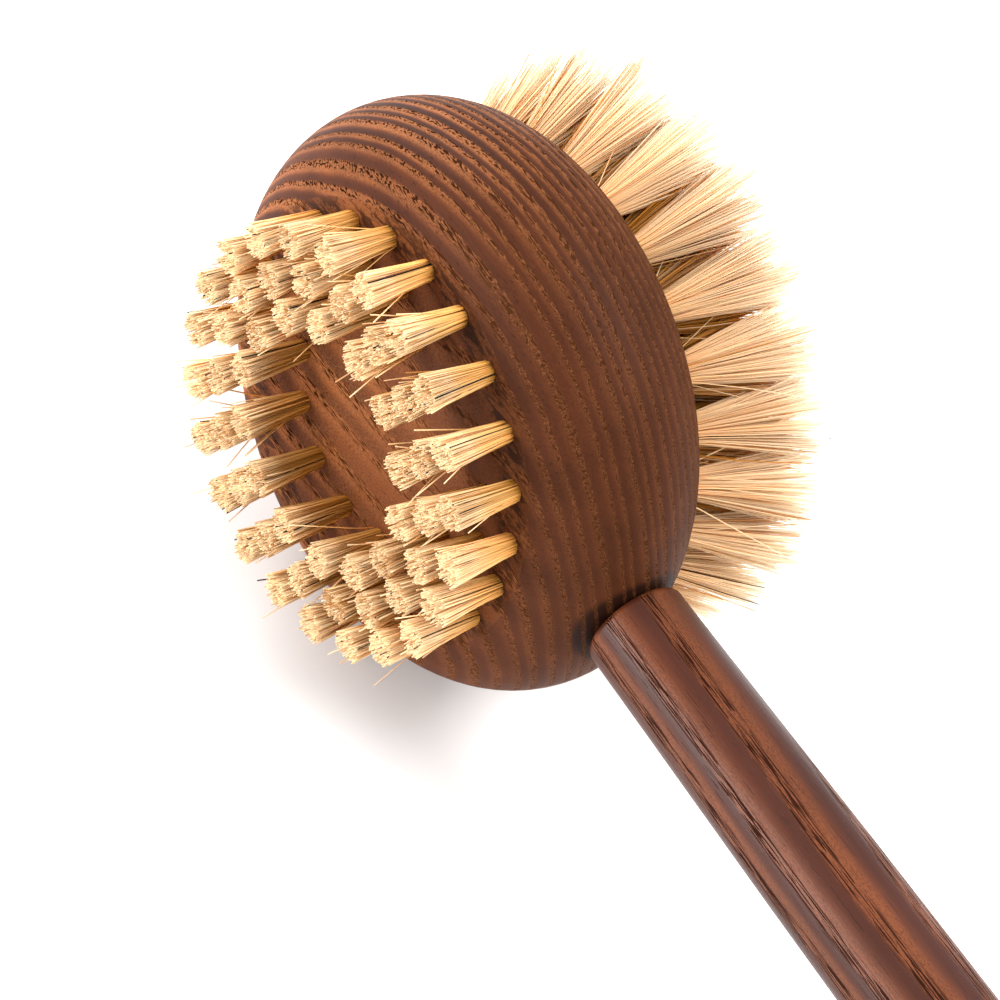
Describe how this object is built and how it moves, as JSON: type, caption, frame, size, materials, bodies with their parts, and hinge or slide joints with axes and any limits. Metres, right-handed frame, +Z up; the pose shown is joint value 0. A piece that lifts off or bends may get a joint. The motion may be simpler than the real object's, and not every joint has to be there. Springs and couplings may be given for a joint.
{
  "type": "body dry brush",
  "caption": "Long-handled dry body brush: a turned wooden head with short stiff bristles on one face and long soft bristles on the other.",
  "frame": {"origin": "middle of the bottom of the box around the whole brush, with the head standing on its rim", "axes": "+X along the handle away from the head, +Y out of the long-bristle face, +Z up across the head"},
  "size_m": [0.4, 0.0624, 0.095],
  "materials": {
    "head_wood": "oiled, heat-treated ash",
    "handle_wood": "satin, heat-treated ash",
    "short_bristle": "natural plant fibre, cut ends",
    "long_bristle": "natural plant fibre, fine and glossy",
    "anchor_metal": "galvanised strip"
  },
  "bodies": {
    "root": {"handle": "handle_wood", "head_block": "head_wood", "long_inner_anchors": "anchor_metal", "long_inner_tufts_01": "long_bristle", "long_inner_tufts_02": "long_bristle", "long_inner_tufts_03": "long_bristle", "long_inner_tufts_04": "long_bristle", "long_inner_tufts_05": "long_bristle", "long_inner_tufts_06": "long_bristle", "long_inner_tufts_07": "long_bristle", "long_middle_anchors": "anchor_metal", "long_middle_tufts_01": "long_bristle", "long_middle_tufts_02": "long_bristle", "long_middle_tufts_03": "long_bristle", "long_middle_tufts_04": "long_bristle", "long_middle_tufts_05": "long_bristle", "long_middle_tufts_06": "long_bristle", "long_outer_anchors": "anchor_metal", "long_outer_tufts_01": "long_bristle", "long_outer_tufts_02": "long_bristle", "long_outer_tufts_03": "long_bristle", "long_outer_tufts_04": "long_bristle", "long_outer_tufts_05": "long_bristle", "long_outer_tufts_06": "long_bristle", "long_outer_tufts_07": "long_bristle", "long_outer_tufts_08": "long_bristle", "long_outer_tufts_09": "long_bristle", "long_outer_tufts_10": "long_bristle", "long_outer_tufts_11": "long_bristle", "short_inner_anchors": "anchor_metal", "short_inner_tufts_01": "short_bristle", "short_inner_tufts_02": "short_bristle", "short_inner_tufts_03": "short_bristle", "short_inner_tufts_04": "short_bristle", "short_inner_tufts_05": "short_bristle", "short_inner_tufts_06": "short_bristle", "short_inner_tufts_07": "short_bristle", "short_middle_anchors": "anchor_metal", "short_middle_tufts_01": "short_bristle", "short_middle_tufts_02": "short_bristle", "short_middle_tufts_03": "short_bristle", "short_middle_tufts_04": "short_bristle", "short_middle_tufts_05": "short_bristle", "short_middle_tufts_06": "short_bristle", "short_outer_anchors": "anchor_metal", "short_outer_tufts_01": "short_bristle", "short_outer_tufts_02": "short_bristle", "short_outer_tufts_03": "short_bristle", "short_outer_tufts_04": "short_bristle", "short_outer_tufts_05": "short_bristle", "short_outer_tufts_06": "short_bristle", "short_outer_tufts_07": "short_bristle", "short_outer_tufts_08": "short_bristle", "short_outer_tufts_09": "short_bristle", "short_outer_tufts_10": "short_bristle", "short_outer_tufts_11": "short_bristle"}
  },
  "joints": []
}
